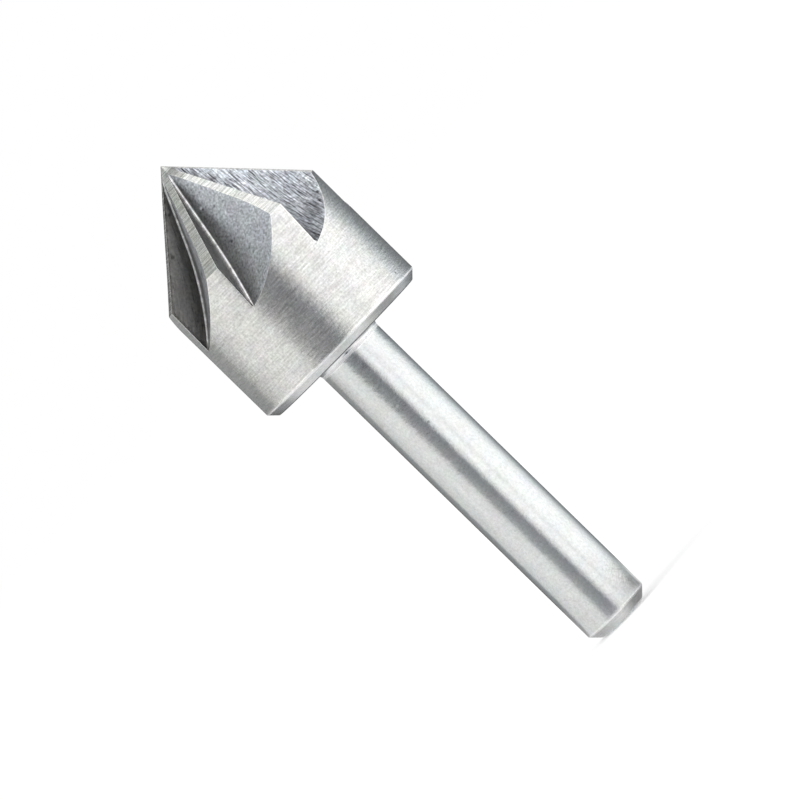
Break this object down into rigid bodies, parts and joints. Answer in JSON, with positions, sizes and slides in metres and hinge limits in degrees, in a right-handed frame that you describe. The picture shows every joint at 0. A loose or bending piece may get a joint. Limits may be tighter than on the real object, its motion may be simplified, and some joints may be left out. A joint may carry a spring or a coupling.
{
  "type": "chamfer cutter",
  "caption": "Ground steel chamfer cutter: a fluted cutting cone on a short cylindrical head, with a plain round shank for a drill chuck or collet.",
  "frame": {"origin": "centre of the flat end face of the shank", "axes": "+Z along the tool axis, from the free end of the shank to the cutting tip; -Y faces the side that the picture shows"},
  "size_m": [0.019, 0.019, 0.0593],
  "materials": {
    "steel": "turned and ground, with fine rings round the axis and coarser grinding marks in the flutes"
  },
  "bodies": {
    "root": {"cutter": "steel"}
  },
  "joints": []
}
